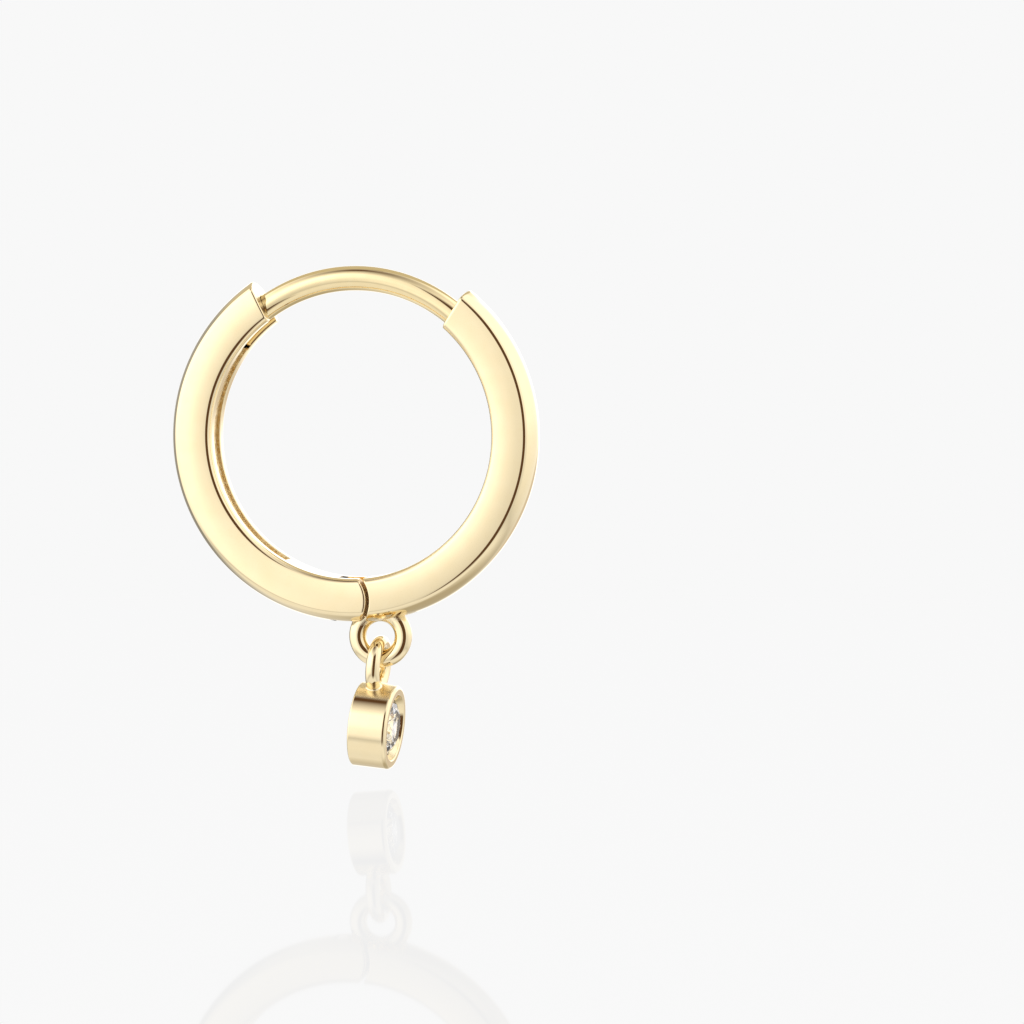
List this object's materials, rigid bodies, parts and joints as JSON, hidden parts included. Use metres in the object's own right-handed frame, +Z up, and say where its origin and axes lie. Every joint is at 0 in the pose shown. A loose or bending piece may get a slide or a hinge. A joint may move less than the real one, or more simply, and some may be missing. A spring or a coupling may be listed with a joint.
{
  "type": "hoop charm earring",
  "caption": "Huggie hoop earring with a hinged back half, a curved ear wire that snaps into it, and a bezel-set clear stone hanging free on a ring below.",
  "frame": {"origin": "underside of the ear wire at the top of the hoop, where it lies in the ear lobe", "axes": "+Z up as worn, +Y along the hoop's axis, +X from the hinged back half towards the fixed front half"},
  "size_m": [0.0124, 0.0028, 0.0167],
  "materials": {
    "gold": "mirror polished pale yellow gold plate",
    "wire_gold": "polished pale yellow gold plate on drawn wire",
    "pin_gold": "gold plated pin, its end polished flush",
    "clear_stone": "clear cut stone with polished facets"
  },
  "bodies": {
    "front": {"front_half": "gold", "ear_wire": "wire_gold", "hinge_pin": "pin_gold"},
    "back": {"back_half": "gold"},
    "charm": {"bezel_setting": "gold", "stone": "clear_stone"}
  },
  "joints": [
    {"name": "hoop_hinge", "type": "hinge", "parent": "front", "child": "back", "pos_m": [-0.00049, 0, -0.01026], "axis": [0, -1, 0], "range_deg": [0, 50]},
    {"name": "charm_swing", "type": "hinge", "parent": "front", "child": "charm", "pos_m": [0.00086, 0, -0.01226], "axis": [1, 0, 0], "range_deg": [-75, 75]}
  ]
}
